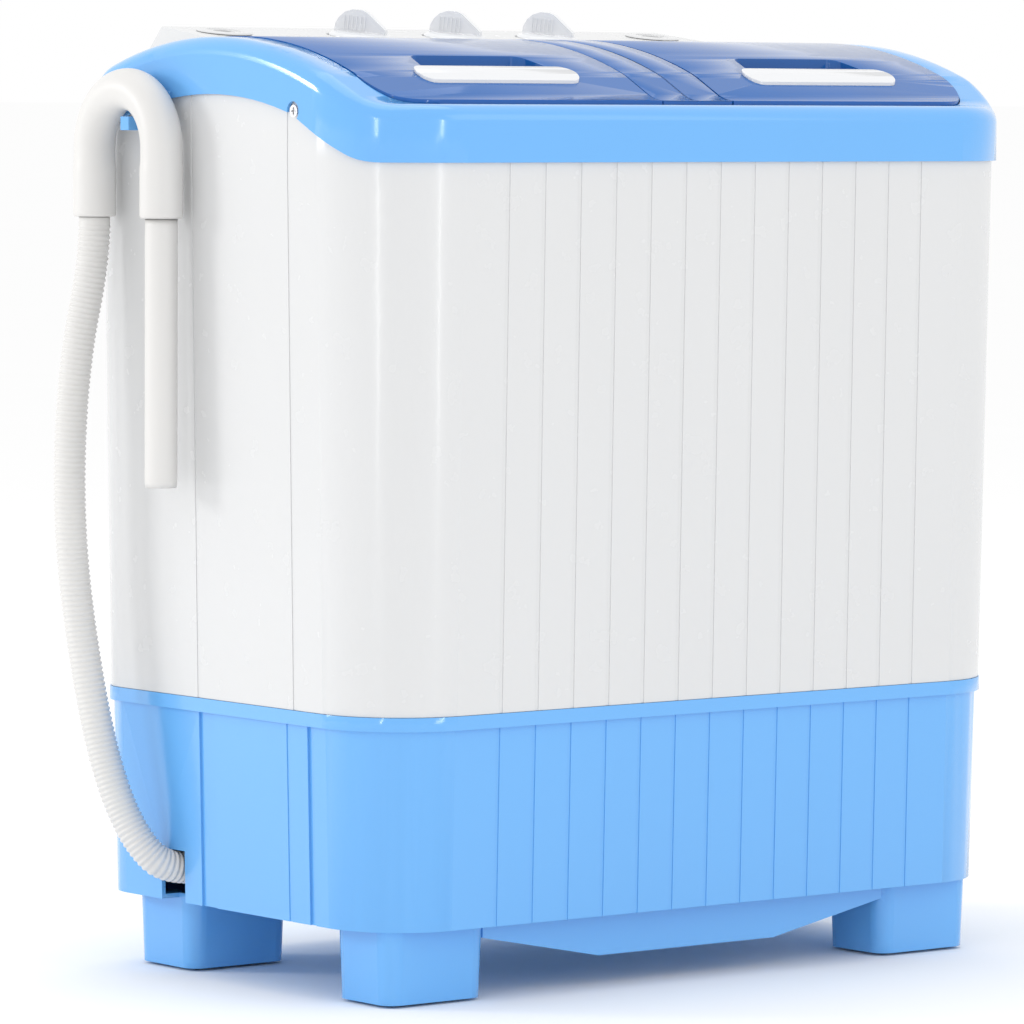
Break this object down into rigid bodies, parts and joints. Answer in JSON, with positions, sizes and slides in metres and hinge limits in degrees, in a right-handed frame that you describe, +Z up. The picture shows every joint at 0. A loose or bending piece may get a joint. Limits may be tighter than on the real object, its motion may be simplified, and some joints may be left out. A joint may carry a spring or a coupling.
{
  "type": "twin tub washing machine",
  "caption": "Twin-tub washing machine: a wash tub with a pulsator beside a spin basket, two hinged lids, three dials, drain hose, in a ribbed plastic cabinet on moulded legs.",
  "frame": {"origin": "on the floor under the middle of the machine, hose left out", "axes": "+X to the right seen from the front, +Y to the back, +Z up"},
  "size_m": [0.6311, 0.35, 0.6713],
  "materials": {
    "blue_plastic": "glossy moulded",
    "white_plastic": "glossy moulded",
    "lid_plastic": "high gloss, tinted",
    "hose_plastic": "satin corrugated",
    "tub_plastic": "satin moulded",
    "filter_plastic": "satin moulded",
    "black_plastic": "satin moulded",
    "dark_rubber": "matte",
    "steel": "bright",
    "cast_aluminium": "as cast",
    "motor_paint": "satin paint",
    "brake_lining": "matte"
  },
  "bodies": {
    "machine": {"base": "blue_plastic", "foot_pads": "dark_rubber", "cabinet": "white_plastic", "back_cover": "white_plastic", "back_cover_screws": "steel", "cord_gland": "black_plastic", "top_frame": "blue_plastic", "frame_screws": "steel", "top_cover": "white_plastic", "lid_bridge": "lid_plastic", "lid_hinge_pins": "steel", "inlet_caps": "white_plastic", "twin_tub": "tub_plastic", "lint_filter": "filter_plastic", "overflow_grille": "filter_plastic", "drain_valve_body": "white_plastic", "drain_valve_cap": "white_plastic", "drain_valve_spring": "steel", "inner_drain_pipe": "dark_rubber", "drain_hose": "hose_plastic", "hose_elbow": "hose_plastic", "hose_tail": "hose_plastic", "hose_hook": "blue_plastic", "wash_motor": "motor_paint", "drive_belt": "dark_rubber", "reducer_case": "cast_aluminium", "wash_tub_seal": "dark_rubber", "spin_motor": "motor_paint", "spin_motor_mounts": "dark_rubber", "brake_cable": "steel", "spin_bellows": "dark_rubber", "capacitors": "white_plastic", "lid_switch": "black_plastic", "wash_timer": "white_plastic", "selector_switch": "white_plastic", "spin_timer": "white_plastic"},
    "wash_lid_body": {"wash_lid": "lid_plastic", "wash_lid_handle": "white_plastic"},
    "spin_lid_body": {"spin_lid": "lid_plastic", "spin_lid_handle": "white_plastic"},
    "wash_timer_dial": {"wash_timer_knob": "white_plastic", "wash_timer_shaft": "white_plastic"},
    "selector_dial": {"selector_knob": "white_plastic", "selector_shaft": "white_plastic"},
    "spin_timer_dial": {"spin_timer_knob": "white_plastic", "spin_timer_shaft": "white_plastic"},
    "pulsator_unit": {"pulsator": "filter_plastic", "pulsator_shaft": "steel", "pulsator_pulley": "cast_aluminium", "pulsator_screw": "steel"},
    "wash_rotor": {"wash_rotor_shaft": "steel", "motor_pulley": "cast_aluminium"},
    "spin_unit": {"spin_basket": "tub_plastic", "balance_ring": "tub_plastic", "spin_rotor_shaft": "steel", "brake_drum": "steel"},
    "brake_arm": {"brake_lever": "steel", "brake_shoe": "brake_lining"},
    "drain_stem": {"drain_plunger": "dark_rubber", "drain_pull_strap": "white_plastic"}
  },
  "joints": [
    {"name": "wash_lid_hinge", "type": "hinge", "parent": "machine", "child": "wash_lid_body", "pos_m": [0, 0.076, 0.6396], "axis": [-1, 0, 0], "range_deg": [0, 90]},
    {"name": "spin_lid_hinge", "type": "hinge", "parent": "machine", "child": "spin_lid_body", "pos_m": [0, 0.076, 0.6396], "axis": [-1, 0, 0], "range_deg": [0, 90]},
    {"name": "wash_timer_turn", "type": "hinge", "parent": "machine", "child": "wash_timer_dial", "pos_m": [-0.0854, 0.1244, 0.65158], "axis": [0, 0.1239, -0.9923], "range_deg": [0, 300]},
    {"name": "selector_turn", "type": "hinge", "parent": "machine", "child": "selector_dial", "pos_m": [0, 0.1244, 0.65158], "axis": [0, 0.1239, -0.9923], "range_deg": [0, 90]},
    {"name": "spin_timer_turn", "type": "hinge", "parent": "machine", "child": "spin_timer_dial", "pos_m": [0.0854, 0.1244, 0.65158], "axis": [0, 0.1239, -0.9923], "range_deg": [0, 300]},
    {"name": "pulsator_spin", "type": "hinge", "parent": "machine", "child": "pulsator_unit", "pos_m": [-0.149, -0.045, 0.29], "axis": [0, 0, 1], "continuous": true},
    {"name": "wash_motor_spin", "type": "hinge", "parent": "machine", "child": "wash_rotor", "pos_m": [-0.04, 0.065, 0.204], "axis": [0, 0, 1], "continuous": true},
    {"name": "basket_spin", "type": "hinge", "parent": "machine", "child": "spin_unit", "pos_m": [0.152, -0.042, 0.3], "axis": [0, 0, 1], "continuous": true},
    {"name": "brake_pivot", "type": "hinge", "parent": "machine", "child": "brake_arm", "pos_m": [0.23, -0.022, 0.199], "axis": [0, 0, 1], "range_deg": [0, 2.7]},
    {"name": "drain_lift", "type": "slide", "parent": "machine", "child": "drain_stem", "axis": [0, 0, 1], "range_m": [0, 0.012], "deforming": ["drain_valve_spring"]}
  ],
  "couplings": [
    {"joint": "wash_motor_spin", "follows": "pulsator_spin", "ratio": 3.875},
    {"joint": "brake_pivot", "follows": "spin_lid_hinge", "ratio": 0.03},
    {"joint": "drain_lift", "follows": "selector_turn", "m_per_rad": 0.0076}
  ]
}
